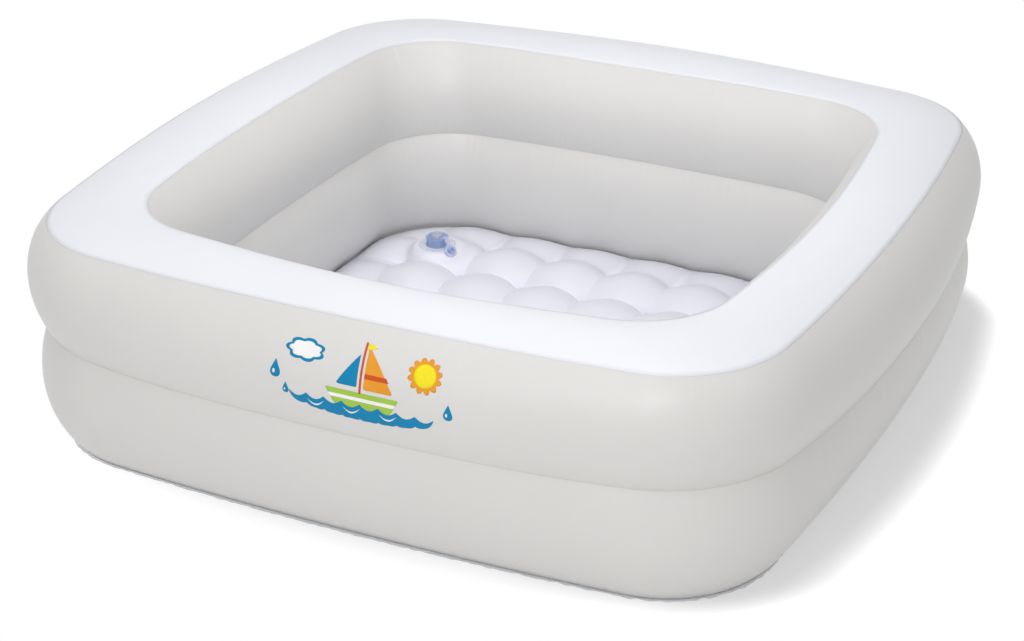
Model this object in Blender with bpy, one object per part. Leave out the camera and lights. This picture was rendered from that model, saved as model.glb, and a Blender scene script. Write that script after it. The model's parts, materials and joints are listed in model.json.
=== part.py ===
"""Square inflatable paddling pool.

Two stacked air rings of welded vinyl sheet stand round a basin, whose floor is a third air chamber
with a lattice of bubbles. Each chamber has a valve: a welded flange, a collar, a stem with a check
flap, and a stopper cap on a strap. Metres, +Z up, origin on the ground under the pool's middle.
"""
import math

import bmesh
import bpy
import numpy as np
from mathutils import Matrix, Vector
from mathutils.geometry import delaunay_2d_cdt

# Vinyl sheet, and the clearance between pieces that touch or are welded together
SHEET = 0.0003
GAP = 0.0003
PLY = SHEET + GAP
WELD = 0.005

# Seams, from the top down. Each is a rounded square with bowed sides: half its width at mid side,
# the radius of its corners and of its sides, its height, and how far its corners rise above that.
# Each inner seam lies the ring's width there inside the outer one.
TOP_HEIGHT = 0.2340
TOP_OUTER_HALF = 0.3984
TOP_OUTER_CORNER = 0.1190
TOP_OUTER_SIDE = 2.40
TOP_OUTER_LIFT = -0.0035
TOP_WIDTH = 0.0809
TOP_INNER_HALF = TOP_OUTER_HALF - TOP_WIDTH
TOP_INNER_CORNER = 0.0950
TOP_INNER_SIDE = 1.78
TOP_INNER_DROP = 0.0016
TOP_INNER_LIFT = 0.0037
CREASE_HEIGHT = 0.1304
CREASE_OUTER_HALF = 0.4232
CREASE_OUTER_CORNER = 0.1285
CREASE_OUTER_SIDE = 1.27
CREASE_OUTER_LIFT = -0.0081
CREASE_WIDTH = 0.1323
CREASE_INNER_HALF = CREASE_OUTER_HALF - CREASE_WIDTH
CREASE_INNER_CORNER = 0.1010
CREASE_INNER_SIDE = 3.15
BASE_OUTER_HALF = 0.3803
BASE_OUTER_CORNER = 0.1090
BASE_OUTER_SIDE = 4.04
BASE_WIDTH = 0.0783
BASE_INNER_HALF = BASE_OUTER_HALF - BASE_WIDTH
BASE_INNER_CORNER = 0.0990
BASE_INNER_SIDE = 9.0
BASE_MARGIN = 0.005

# How far the air pushes each panel out from the straight line between its seams
CROWN = 0.0078
UPPER_OUTER_BULGE = 0.0197
UPPER_INNER_BULGE = 0.0170
LOWER_OUTER_BULGE = 0.0193
LOWER_INNER_BULGE = 0.0180

# Facets along a side and round a corner of every seam, and across each panel
SIDE_STEPS = 6
CORNER_STEPS = 8
WALL_STEPS = 4
CROWN_STEPS = 3

# Bubble floor: spot welds on a square lattice, a bubble in each cell, a tube along the wall
FLOOR_MARGIN = 0.0035
FLOOR_HALF = BASE_INNER_HALF - FLOOR_MARGIN
FLOOR_CORNER = BASE_INNER_CORNER - FLOOR_MARGIN
EDGE_TUBE_WIDTH = 0.0660
EDGE_TUBE_HEIGHT = 0.0075
BUBBLE_CELLS = 6
BUBBLE_PITCH = 2 * (FLOOR_HALF - EDGE_TUBE_WIDTH) / BUBBLE_CELLS
BUBBLE_HEIGHT = 0.0280
SPOT_RADIUS = 0.0060
BUBBLE_RING_SHARE = 0.62
BUBBLE_RING_POINTS = 8

# Valve mouldings, which are alike on all three chambers
VALVE_SIDES = 20
FLANGE_RADIUS = 0.0220
FLANGE_THICK = 0.0008
COLLAR_RADIUS = 0.0125
COLLAR_WALL = 0.0012
COLLAR_DEPTH = 0.0116
BEAD_RADIUS = 0.0135
BEAD_THICK = 0.0008
STEM_RADIUS = 0.0065
STEM_BORE = 0.0050
STEM_PROUD = 0.0040
STEM_TAIL = 0.0030
SHOULDER_RADIUS = 0.0085
SHOULDER_THICK = 0.0008
FLAP_RADIUS = 0.0062
FLAP_THICK = 0.0006
FLAP_HINGE_RADIUS = 0.0072
FLAP_EAR = 0.0006
FLAP_EAR_WIDTH = 0.0040
HEAD_RADIUS = 0.0075
HEAD_THICK = 0.0020
PLUG_RADIUS = 0.0046
PLUG_TIP_RADIUS = 0.0036
PLUG_BORE = 0.0024
PLUG_LENGTH = 0.0046
HEAD_SKIN = 0.0012
STRAP_RING_RADIUS = 0.0078
STRAP_RING_BORE = 0.0050
STRAP_THICK = 0.0010
STRAP_WIDTH = 0.0050
STRAP_REACH = 0.0170
KNUCKLE_RADIUS = 0.0008
LUG_WIDTH = 0.0070
LUG_DEPTH = 0.0014
LUG_TIP = 0.0016

# A valve pushed in rests with its bead on the flange, and comes out by its travel
VALVE_TRAVEL = 0.0080
PUSHED_IN_HEIGHT = GAP + FLANGE_THICK + GAP + BEAD_THICK

# The floor valve stands pulled out with its cap off. It sits off the middle of a bubble.
FLOOR_VALVE_CELL = (0, 5)
FLOOR_VALVE_SHIFT_X = -0.0068
FLOOR_VALVE_SHIFT_Y = -0.0093
FLOOR_LAND_RADIUS = 0.0240
FLOOR_LAND_BLEND = 0.0100
FLOOR_LAND_POINTS = 16
FLOOR_STRAP_TURN = math.radians(-28)
FLOOR_CAP_FOLD = math.radians(230)

# The ring valves are pushed in, in the back wall, either side of its middle
RING_VALVE_COLUMNS = 2
CUTTER_REACH = 0.0250

# Colours: base colour, roughness
WHITE_VINYL = ((0.80, 0.82, 0.90), 0.42)
GREY_VINYL = ((0.62, 0.61, 0.59), 0.45)
FLOOR_VINYL = ((0.74, 0.74, 0.84), 0.40)
CLEAR_VINYL = ((0.78, 0.84, 0.90), 0.25)
BLUE_VINYL = ((0.12, 0.22, 0.62), 0.25)


def material(name, colour, roughness):
    """A plain surface of one colour."""
    made = bpy.data.materials.new(name)
    made.use_nodes = True
    shader = made.node_tree.nodes["Principled BSDF"]
    shader.inputs["Base Color"].default_value = (*colour, 1.0)
    shader.inputs["Roughness"].default_value = roughness
    shader.inputs["Metallic"].default_value = 0.0
    return made


def piece(name, mesh, finish):
    """An object of its own for one piece, shaded smooth except at its folds."""
    made = bpy.data.objects.new(name, mesh)
    bpy.context.scene.collection.objects.link(made)
    if finish is not None:
        mesh.materials.append(finish)
    mesh.shade_smooth()
    mesh.set_sharp_from_angle(angle=math.radians(35))
    return made


def empty(name, place, parent=None):
    """An axis that moving pieces hang from, at a place given in its parent's frame."""
    made = bpy.data.objects.new(name, None)
    bpy.context.scene.collection.objects.link(made)
    made.parent = parent
    made.matrix_local = place
    return made


def thicken(target, thickness):
    """Give a surface its thickness, half to each side."""
    shell = target.modifiers.new("thickness", "SOLIDIFY")
    shell.thickness = thickness
    shell.offset = 0.0
    shell.use_even_offset = True


def cut(target, tool, operation="DIFFERENCE"):
    """Cut a piece with a guide solid."""
    step = target.modifiers.new("cut", "BOOLEAN")
    step.operation = operation
    step.solver = "EXACT"
    step.object = tool


# Seams and lofted panels


def seam(half, corner, side, height, lift=0.0):
    """A seam's sizes, with the side's radius kept as its curvature so that seams can be blended."""
    return np.array([half, corner, 1.0 / side, height, lift])


def ring(level):
    """Points of a seam, anticlockwise from the start of the +X side.

    A side is an arc whose centre lies across the middle, and a corner is an arc that meets it on the
    line between their centres. The corners rise by the lift times (1 - cos of four times the bearing) / 2.
    """
    half, corner, curvature, height, lift = level
    side = 1.0 / curvature
    reach = side - half
    middle = (math.sqrt(2 * (side - corner) ** 2 - reach ** 2) - reach) / 2
    turn = math.atan2(middle, reach + middle)
    along = np.linspace(-turn, turn, SIDE_STEPS, endpoint=False)
    around = np.linspace(turn, math.pi / 2 - turn, CORNER_STEPS, endpoint=False)
    x = np.concatenate([side * np.cos(along) - reach, middle + corner * np.cos(around)])
    y = np.concatenate([side * np.sin(along), middle + corner * np.sin(around)])
    xs = np.concatenate([x, -y, -x, y])
    ys = np.concatenate([y, x, -y, -x])
    bearing = np.arctan2(ys, xs)
    return np.column_stack([xs, ys, height + lift * (1 - np.cos(4 * bearing)) / 2])


def bulged(lower, upper, bulge, steps):
    """Rings of a panel whose section is an arc between two seams, pushed out by bulge at its middle."""
    run, rise = upper[0] - lower[0], upper[3] - lower[3]
    chord = math.hypot(run, rise)
    push = abs(bulge)
    radius = (chord ** 2 / 4 + push ** 2) / (2 * push)
    spread = math.asin(chord / 2 / radius)
    rings = []
    for angle in np.linspace(-spread, spread, steps + 1):
        level = lower + (upper - lower) * (0.5 + radius * math.sin(angle) / chord)
        out = math.copysign(radius * math.cos(angle) - (radius - push), bulge)
        level[0] += out * rise / chord
        level[1] += out * rise / chord
        level[3] -= out * run / chord
        rings.append(ring(level))
    return rings


def shifted(points, height):
    """The same ring, higher or lower."""
    return points + np.array([0, 0, height])


def toward(start, end, distance, height):
    """A ring on the panel from start to end, at a distance from start, moved to another height."""
    span = np.linalg.norm(end - start, axis=1, keepdims=True)
    return shifted(start + (end - start) * distance / span, height)


def loft(name, rings, closed=False):
    """Triangles through rings of equal count, with a single face across the last when closed."""
    count = len(rings[0])
    points = np.concatenate(rings)
    faces = []
    for row in range(len(rings) - 1):
        for column in range(count):
            after = (column + 1) % count
            low, high = row * count, (row + 1) * count
            faces.append((low + column, low + after, high + after))
            faces.append((low + column, high + after, high + column))
    if closed:
        faces.append(tuple(range(len(points) - count, len(points))))
    mesh = bpy.data.meshes.new(name)
    mesh.from_pydata(points.tolist(), [], faces)
    return mesh


# Turned pieces of the valves, in the frame of their collar: rim at height 0, +Z out of the chamber


def turned(name, profile):
    """A solid of revolution about Z, from a closed outline of radius and height."""
    bm = bmesh.new()
    verts = [bm.verts.new((radius, 0, height)) for radius, height in profile]
    loop = list(zip(verts, verts[1:] + verts[:1]))
    on_axis = [a.co.x == 0 and b.co.x == 0 for a, b in loop]
    edges = [bm.edges.new(pair) for pair, skip in zip(loop, on_axis) if not skip]
    bmesh.ops.spin(bm, geom=verts + edges, cent=(0, 0, 0), axis=(0, 0, 1), angle=math.tau,
                   steps=VALVE_SIDES, use_merge=True)
    bmesh.ops.remove_doubles(bm, verts=bm.verts, dist=GAP / 100)
    bmesh.ops.recalc_face_normals(bm, faces=bm.faces)
    mesh = bpy.data.meshes.new(name)
    bm.to_mesh(mesh)
    bm.free()
    return mesh


def bar(name, outline, width):
    """A straight bar along Y, centred on Y = 0, whose section is an outline of X and height."""
    count = len(outline)
    points = [(x, side * width / 2, z) for side in (-1, 1) for x, z in outline]
    faces = [(i, i + count, (i + 1) % count + count, (i + 1) % count) for i in range(count)]
    faces += [tuple(range(count)), tuple(range(2 * count - 1, count - 1, -1))]
    mesh = bpy.data.meshes.new(name)
    mesh.from_pydata(points, [], faces)
    return mesh


def rod(name, radius, length, place):
    """A round bar about the Z axis of its place, centred on it."""
    bm = bmesh.new()
    bmesh.ops.create_cone(bm, cap_ends=True, segments=VALVE_SIDES, radius1=radius, radius2=radius,
                          depth=length, matrix=place)
    mesh = bpy.data.meshes.new(name)
    bm.to_mesh(mesh)
    bm.free()
    return mesh


def tool(mesh, place=Matrix(), parent=None):
    """A guide solid that only cuts or joins another piece."""
    made = piece(mesh.name, mesh, None)
    made.parent = parent
    made.matrix_local = place
    made.hide_render = True
    made.display_type = "WIRE"
    return made


def floor_height(x, y):
    """Height of the floor's film over the base, before the valve's land is pressed into it.

    Inside the outermost spot welds each cell is a dome: bubble height times the root of
    1 - (u*u + v*v) / 2, where u and v run from -1 to 1 over the cell, drawn in so that it
    is 0 round each spot weld. Past them the film is a tube that starts at the height of the
    cell edge beside it and comes down to 0 at the floor's border.
    """
    reach = BUBBLE_CELLS * BUBBLE_PITCH / 2
    near_x = np.clip(x, -reach, reach)
    near_y = np.clip(y, -reach, reach)
    first = (1 - BUBBLE_CELLS % 2) * 0.5
    u = 2 * (near_x / BUBBLE_PITCH - first - np.round(near_x / BUBBLE_PITCH - first))
    v = 2 * (near_y / BUBBLE_PITCH - first - np.round(near_y / BUBBLE_PITCH - first))
    draw = 1 - SPOT_RADIUS / (BUBBLE_PITCH * math.sqrt(0.5))
    dome = BUBBLE_HEIGHT * np.sqrt(np.maximum(0, 1 - (u * u + v * v) / (2 * draw * draw)))
    outside = np.hypot(x - near_x, y - near_y)
    inside = np.maximum(0, -border_distance(x, y))
    out = outside / np.maximum(outside + inside, GAP)
    return np.sqrt(dome ** 2 * (1 - out) + 4 * EDGE_TUBE_HEIGHT ** 2 * out * (1 - out))


def border_distance(x, y):
    """Distance out of the floor's border, negative inside it: a rounded square with bowed sides."""
    across = np.abs(x) + y * y / (2 * BASE_INNER_SIDE)
    along = np.abs(y) + x * x / (2 * BASE_INNER_SIDE)
    straight = FLOOR_HALF - FLOOR_CORNER
    past_x, past_y = across - straight, along - straight
    corner = np.hypot(np.maximum(past_x, 0), np.maximum(past_y, 0))
    return corner + np.minimum(np.maximum(past_x, past_y), 0) - FLOOR_CORNER


for old in list(bpy.data.objects):
    bpy.data.objects.remove(old)

white = material("white_vinyl", *WHITE_VINYL)
grey = material("grey_vinyl", *GREY_VINYL)
pale = material("floor_vinyl", *FLOOR_VINYL)
clear = material("clear_vinyl", *CLEAR_VINYL)
blue = material("blue_vinyl", *BLUE_VINYL)

# Seams, each at the height of the film in its middle
top_outer = seam(TOP_OUTER_HALF, TOP_OUTER_CORNER, TOP_OUTER_SIDE, TOP_HEIGHT, TOP_OUTER_LIFT)
top_inner = seam(TOP_INNER_HALF, TOP_INNER_CORNER, TOP_INNER_SIDE, TOP_HEIGHT - TOP_INNER_DROP, TOP_INNER_LIFT)
crease_outer = seam(CREASE_OUTER_HALF, CREASE_OUTER_CORNER, CREASE_OUTER_SIDE, CREASE_HEIGHT, CREASE_OUTER_LIFT)
crease_inner = seam(CREASE_INNER_HALF, CREASE_INNER_CORNER, CREASE_INNER_SIDE, CREASE_HEIGHT)
base_outer = seam(BASE_OUTER_HALF, BASE_OUTER_CORNER, BASE_OUTER_SIDE, SHEET / 2)
base_inner = seam(BASE_INNER_HALF, BASE_INNER_CORNER, BASE_INNER_SIDE, SHEET / 2)
ply_up = np.array([0, 0, 0, PLY, 0])

# Top band: one crowned white strip that closes the upper ring
band = bulged(top_outer, top_inner, CROWN, CROWN_STEPS)
top_band = piece("top_band", loft("top_band", band), white)
thicken(top_band, SHEET)

# Divider between the two rings, welded into both creases
divider_outer, divider_inner = ring(crease_outer), ring(crease_inner)
divider = piece("ring_divider", loft("ring_divider", [divider_outer, divider_inner]), grey)
thicken(divider, SHEET)


def wall(name, lower, upper, bulge, foot, head, foot_rise, head_rise):
    """A ring's side panel: an arc between two seams, with a weld flange turned into the chamber at each.

    foot and head are the pairs of rings that the two flanges lie along, and the rises are
    the heights from those rings to the flanges.
    """
    rings = [toward(*foot, WELD, foot_rise)]
    rings += bulged(lower, upper, bulge, WALL_STEPS)
    rings.append(toward(*head, WELD, head_rise))
    made = piece(name, loft(name, rings), grey)
    thicken(made, SHEET)
    return made, rings


base_outer_ring, base_inner_ring = ring(base_outer), ring(base_inner)
upper_outer, upper_rings = wall(
    "upper_outer_wall", crease_outer + ply_up, top_outer - ply_up, UPPER_OUTER_BULGE,
    (divider_outer, divider_inner), (band[0], band[1]), PLY, -PLY)
upper_inner, _ = wall(
    "upper_inner_wall", crease_inner + ply_up, top_inner - ply_up, -UPPER_INNER_BULGE,
    (divider_inner, divider_outer), (band[-1], band[-2]), PLY, -PLY)
lower_outer, lower_rings = wall(
    "lower_outer_wall", base_outer + ply_up, crease_outer - ply_up, LOWER_OUTER_BULGE,
    (base_outer_ring, base_inner_ring), (divider_outer, divider_inner), PLY, -PLY)
lower_inner, _ = wall(
    "lower_inner_wall", base_inner + ply_up, crease_inner - ply_up, -LOWER_INNER_BULGE,
    (base_inner_ring, base_outer_ring), (divider_inner, divider_outer), PLY, -PLY)

# Base sheet: flat on the ground under both the rings and the floor, with a crimped margin outside
base_edge = base_outer.copy()
base_edge[:2] += BASE_MARGIN
base_sheet = piece("base_sheet", loft("base_sheet", [ring(base_edge)], closed=True), white)
thicken(base_sheet, SHEET)

# Floor sheet: bubbles between spot welds, with a flat land and a hole for its valve
floor_edge = seam(FLOOR_HALF, FLOOR_CORNER, BASE_INNER_SIDE, 0)
cell_middles = (np.arange(BUBBLE_CELLS) - (BUBBLE_CELLS - 1) / 2) * BUBBLE_PITCH
valve_x = cell_middles[FLOOR_VALVE_CELL[0]] + FLOOR_VALVE_SHIFT_X
valve_y = cell_middles[FLOOR_VALVE_CELL[1]] + FLOOR_VALVE_SHIFT_Y
valve_hole = COLLAR_RADIUS + GAP


def circle(x, y, radius, count):
    """Points evenly round a circle."""
    turns = np.arange(count) * math.tau / count
    return np.column_stack([x + radius * np.cos(turns), y + radius * np.sin(turns)])


def floor_mesh():
    """Triangles through the spot welds, the low points between them, each bubble and the border."""
    spots = (np.arange(BUBBLE_CELLS + 1) - BUBBLE_CELLS / 2) * BUBBLE_PITCH
    loops = [ring(floor_edge)[:, :2], circle(valve_x, valve_y, valve_hole, VALVE_SIDES)]
    edges = []
    first = 0
    for loop in loops:
        count = len(loop)
        edges += [(first + i, first + (i + 1) % count) for i in range(count)]
        first += count
    points = loops + [circle(valve_x, valve_y, FLOOR_LAND_RADIUS, FLOOR_LAND_POINTS)]
    points.append(np.array([(x, y) for x in spots for y in spots]))
    points.append(np.array([(x, y) for x in cell_middles for y in spots]))
    points.append(np.array([(x, y) for x in spots for y in cell_middles]))
    ring_radius = BUBBLE_RING_SHARE * BUBBLE_PITCH / 2
    for column, x in enumerate(cell_middles):
        for row, y in enumerate(cell_middles):
            if (column, row) != FLOOR_VALVE_CELL:
                points.append(np.array([(x, y)]))
                points.append(circle(x, y, ring_radius, BUBBLE_RING_POINTS))
    ridge = (spots[-1] + FLOOR_HALF) / 2
    for place in np.concatenate([spots, cell_middles]):
        points.append(np.array([(ridge, place), (-ridge, place), (place, ridge), (place, -ridge)]))
    flat = np.concatenate(points)
    verts, _, faces, _, _, _ = delaunay_2d_cdt([Vector(p) for p in flat], edges, [], 1, GAP / 10)
    x = np.array([v.x for v in verts])
    y = np.array([v.y for v in verts])
    away = np.hypot(x - valve_x, y - valve_y)
    blend = np.clip((away - FLOOR_LAND_RADIUS) / FLOOR_LAND_BLEND, 0, 1)
    height = BUBBLE_HEIGHT + (floor_height(x, y) - BUBBLE_HEIGHT) * blend
    height[away < FLOOR_LAND_RADIUS + GAP] = BUBBLE_HEIGHT
    solid = []
    for face in faces:
        mid_x, mid_y = x[face].mean(), y[face].mean()
        if math.hypot(mid_x - valve_x, mid_y - valve_y) > valve_hole * math.cos(math.pi / VALVE_SIDES):
            solid.append(face)
    mesh = bpy.data.meshes.new("floor_sheet")
    mesh.from_pydata(np.column_stack([x, y, height + SHEET / 2 + PLY]).tolist(), [], solid)
    return mesh


floor_sheet = piece("floor_sheet", floor_mesh(), pale)
thicken(floor_sheet, SHEET)


# Valves


def hinge_level():
    """Height of the strap's hinge over the collar's rim: the middle of the strap on the stem's top."""
    return STEM_PROUD + GAP + STRAP_THICK / 2


def collar_piece(name, seat):
    """Blue cup that holds the stem, with a bead at its rim and a lug that carries the strap."""
    floor_top = COLLAR_WALL - COLLAR_DEPTH
    hole = STEM_RADIUS + GAP
    made = piece(name, turned(name, [
        (hole, -COLLAR_DEPTH), (COLLAR_RADIUS, -COLLAR_DEPTH), (COLLAR_RADIUS, -BEAD_THICK),
        (BEAD_RADIUS, -BEAD_THICK), (BEAD_RADIUS, 0), (COLLAR_RADIUS - COLLAR_WALL, 0),
        (COLLAR_RADIUS - COLLAR_WALL, floor_top), (hole, floor_top)]), blue)
    made.parent = seat
    lug_top = hinge_level() - KNUCKLE_RADIUS - GAP
    root = COLLAR_RADIUS - COLLAR_WALL / 2
    lug = bar(name + "_lug", [
        (root, -LUG_DEPTH), (COLLAR_RADIUS, -LUG_DEPTH), (STRAP_REACH, lug_top - LUG_TIP),
        (STRAP_REACH, lug_top), (root, lug_top)], LUG_WIDTH)
    cut(made, tool(lug, parent=seat), "UNION")
    return made


def stem_piece(name, seat):
    """Clear tube through the collar's floor, with a shoulder welded under it."""
    under = -COLLAR_DEPTH - GAP
    foot = under - SHOULDER_THICK
    end = -COLLAR_DEPTH - STEM_TAIL
    made = piece(name, turned(name, [
        (STEM_BORE, end), (STEM_RADIUS, end), (STEM_RADIUS, foot), (SHOULDER_RADIUS, foot),
        (SHOULDER_RADIUS, under), (STEM_RADIUS, under), (STEM_RADIUS, STEM_PROUD),
        (STEM_BORE, STEM_PROUD)]), clear)
    made.parent = seat
    return made


def flap_piece(name, seat):
    """Check flap under the stem's lower end, on an ear that flexes beside the stem."""
    top = -COLLAR_DEPTH - STEM_TAIL - GAP
    axis = Matrix.Translation((FLAP_HINGE_RADIUS, 0, top - FLAP_THICK / 2))
    hinge = empty(name + "_hinge", axis, seat)
    made = piece(name, turned(name, [
        (0, top - FLAP_THICK), (FLAP_RADIUS, top - FLAP_THICK), (FLAP_RADIUS, top), (0, top)]), clear)
    made.parent = hinge
    made.matrix_local = axis.inverted()
    ear_end = FLAP_HINGE_RADIUS + FLAP_EAR
    ear = bar(name + "_ear", [
        (FLAP_RADIUS / 2, top - FLAP_THICK), (ear_end, top - FLAP_THICK), (ear_end, top),
        (FLAP_RADIUS / 2, top)], FLAP_EAR_WIDTH)
    cut(made, tool(ear, axis.inverted(), hinge), "UNION")
    return made


def cap_pieces(name, seat, fold):
    """Blue stopper and its clear strap, which turn together about the collar's lug."""
    level = hinge_level()
    axis = Matrix.Translation((STRAP_REACH, 0, level))
    hinge = empty(name + "_cap_hinge", axis @ Matrix.Rotation(fold, 4, "Y"), seat)
    home = axis.inverted()
    low, high = level - STRAP_THICK / 2, level + STRAP_THICK / 2
    strap = piece(name + "_strap", turned(name + "_strap", [
        (STRAP_RING_BORE, low), (STRAP_RING_RADIUS, low), (STRAP_RING_RADIUS, high),
        (STRAP_RING_BORE, high)]), clear)
    inner = (STRAP_RING_BORE + STRAP_RING_RADIUS) / 2
    tongue = bar(name + "_tongue", [
        (inner, low), (STRAP_REACH, low), (STRAP_REACH, high), (inner, high)], STRAP_WIDTH)
    sideways = axis @ Matrix.Rotation(math.pi / 2, 4, "X")
    knuckle = rod(name + "_knuckle", KNUCKLE_RADIUS, STRAP_WIDTH, sideways)
    seat_level = high + GAP
    tip = seat_level - PLUG_LENGTH
    cap = piece(name + "_cap", turned(name + "_cap", [
        (0, seat_level + HEAD_THICK), (HEAD_RADIUS, seat_level + HEAD_THICK), (HEAD_RADIUS, seat_level),
        (PLUG_RADIUS, seat_level), (PLUG_RADIUS, low), (PLUG_TIP_RADIUS, tip), (PLUG_BORE, tip),
        (PLUG_BORE, seat_level + HEAD_THICK - HEAD_SKIN), (0, seat_level + HEAD_THICK - HEAD_SKIN)]), blue)
    for made in (strap, cap):
        made.parent = hinge
        made.matrix_local = home
    cut(strap, tool(tongue, home, hinge), "UNION")
    cut(strap, tool(knuckle, home, hinge), "UNION")


def valve(name, seat, fold):
    """All the pieces of a valve inside its flange, at a seat whose origin is the middle of the collar's rim."""
    collar_piece(name + "_collar", seat)
    stem_piece(name + "_stem", seat)
    flap_piece(name + "_flap", seat)
    cap_pieces(name, seat, fold)


# Floor valve: upright on its land
floor_seat = Matrix.Translation((valve_x, valve_y, BUBBLE_HEIGHT + PLY + SHEET))
floor_seat = floor_seat @ Matrix.Rotation(FLOOR_STRAP_TURN, 4, "Z")
flange = piece("floor_valve_flange", turned("floor_valve_flange", [
    (valve_hole, GAP), (FLANGE_RADIUS, GAP), (FLANGE_RADIUS, GAP + FLANGE_THICK),
    (valve_hole, GAP + FLANGE_THICK)]), clear)
flange.matrix_local = floor_seat
collar_rim = Matrix.Translation((0, 0, PUSHED_IN_HEIGHT + VALVE_TRAVEL))
valve("floor_valve", empty("floor_valve_seat", floor_seat @ collar_rim), FLOOR_CAP_FOLD)


def ring_valve(name, target, rings, column):
    """A valve pushed into a ring's back wall, with a flange that follows the wall's curve."""
    row = 1 + WALL_STEPS // 2
    middle = SIDE_STEPS + CORNER_STEPS + SIDE_STEPS // 2
    column += middle
    spot = Vector(rings[row][column])
    up = Vector(rings[row + 1][column] - rings[row - 1][column]).normalized()
    side = Vector(rings[row][column + 1] - rings[row][column - 1])
    out = side.cross(up).normalized()
    if out.y < 0:
        out.negate()
    across = out.cross(up)
    turn = Matrix((up, across, out)).transposed().to_4x4()
    seat = Matrix.Translation(spot + out * SHEET / 2) @ turn

    hole = tool(rod(name + "_hole", valve_hole, 2 * CUTTER_REACH, Matrix()), seat)
    disc = tool(rod(name + "_disc", FLANGE_RADIUS, 2 * CUTTER_REACH, Matrix()), seat)
    cut(target, hole)

    bm = bmesh.new()
    bm.from_mesh(target.data)
    bm.verts.ensure_lookup_table()
    bm.normal_update()
    lift = SHEET / 2 + GAP + FLANGE_THICK / 2
    facing = bm.verts[row * len(rings[0]) + column].normal.dot(out)
    moved = [vert.co + vert.normal * math.copysign(lift, facing) for vert in bm.verts]
    for vert, place in zip(bm.verts, moved):
        vert.co = place
    mesh = bpy.data.meshes.new(name + "_flange")
    bm.to_mesh(mesh)
    bm.free()
    patch = piece(name + "_flange", mesh, clear)
    thicken(patch, FLANGE_THICK)
    cut(patch, disc, "INTERSECT")
    cut(patch, hole)
    valve(name, empty(name + "_slide", seat @ Matrix.Translation((0, 0, PUSHED_IN_HEIGHT))), 0.0)


ring_valve("upper_valve", upper_outer, upper_rings, -RING_VALVE_COLUMNS)
ring_valve("lower_valve", lower_outer, lower_rings, RING_VALVE_COLUMNS)
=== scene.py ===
"""The finished look of a square inflatable paddling pool: films, welds, valves and print, in metres."""
import json
import math

import bmesh
import bpy
import numpy as np
from mathutils import Matrix, Vector


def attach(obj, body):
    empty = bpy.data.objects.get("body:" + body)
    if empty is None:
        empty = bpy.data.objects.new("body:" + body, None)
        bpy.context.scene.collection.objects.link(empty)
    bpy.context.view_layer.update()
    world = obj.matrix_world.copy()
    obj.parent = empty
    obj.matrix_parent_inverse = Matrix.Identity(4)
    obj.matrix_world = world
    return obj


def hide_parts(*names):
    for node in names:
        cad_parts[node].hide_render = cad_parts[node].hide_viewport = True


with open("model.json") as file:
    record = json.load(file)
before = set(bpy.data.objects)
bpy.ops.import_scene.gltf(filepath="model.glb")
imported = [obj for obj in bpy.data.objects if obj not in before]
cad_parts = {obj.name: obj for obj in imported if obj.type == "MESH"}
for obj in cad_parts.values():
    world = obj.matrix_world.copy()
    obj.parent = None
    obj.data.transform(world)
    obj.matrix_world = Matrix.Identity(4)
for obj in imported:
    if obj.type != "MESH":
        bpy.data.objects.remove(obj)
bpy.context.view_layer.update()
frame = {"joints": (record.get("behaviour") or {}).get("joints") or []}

# Base sheet. The pool's flat bottom is one sheet of white vinyl, welded to both walls of the lower
# ring. Outside the weld it ends in a narrow trimmed margin, which the heat of the weld has left wavy.

SHEET = 0.0003
WELD_GAP = 0.00003
PLY = SHEET + WELD_GAP
QUARTER_COLUMNS = 320
SIDE_SHARE = 0.76
BASE_OUTER = (0.3803, 0.1090, 1 / 4.04, SHEET / 2, 0)
MARGIN_WIDTH = 0.0052
MARGIN_LIFT = 0.0012
MARGIN_FRILL = 0.0005
MARGIN_STEPS = 8
MARGIN_SHEER = 0.55
MARGIN_CURL = 1.6
MARGIN_SIDE_LIFT = 0.15
MARGIN_WAVES = (0.0151, 0.0193, 0.0283, 0.0410)
FRILL_WAVES = (0.0123, 0.0190, 0.0470)
UNDER_SHARES = (0, 0.35, 0.75, 0.985)
WHITE = (0.835, 0.845, 0.892, 1)
WHITE_ROUGHNESS = 0.38
WHITE_WELD = 0.0048
FOLD_ANGLE = math.radians(40)


def ring(level, along):
    """Points of a seam at places along it, counted in quarters from the start of the +X side.

    A seam is a rounded square with bowed sides. A side is an arc whose centre lies across the middle,
    and a corner is an arc that meets it on the line between their centres. The corners rise by the
    lift times (1 - cos of four times the bearing) / 2. A level holds half the width, the corner's
    radius, the side's curvature, the height and the lift.
    """
    half, corner, curvature, height, lift = level
    side = 1 / curvature
    reach = side - half
    middle = (np.sqrt(2 * (side - corner) ** 2 - reach ** 2) - reach) / 2
    turn = np.arctan2(middle, reach + middle)
    quarter = np.floor(along)
    share = along - quarter
    on_side = share < SIDE_SHARE
    side_angle = turn * (2 * share / SIDE_SHARE - 1)
    corner_angle = turn + (math.pi / 2 - 2 * turn) * (share - SIDE_SHARE) / (1 - SIDE_SHARE)
    x = np.where(on_side, side * np.cos(side_angle) - reach, middle + corner * np.cos(corner_angle))
    y = np.where(on_side, side * np.sin(side_angle), middle + corner * np.sin(corner_angle))
    cos, sin = np.cos(quarter * math.pi / 2), np.sin(quarter * math.pi / 2)
    xs, ys = x * cos - y * sin, x * sin + y * cos
    rise = (1 - np.cos(4 * np.arctan2(ys, xs))) / 2
    return np.stack([xs, ys, height + lift * rise], axis=-1)


def ripples(place, waves, seed):
    """A sum of sines of place, one for each wavelength, with seeded phases, scaled to about 1."""
    phases = np.random.default_rng(seed).uniform(0, math.tau, len(waves))
    total = sum(np.sin(math.tau * place / wave + phase) for wave, phase in zip(waves, phases))
    return total / math.sqrt(len(waves))


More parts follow.
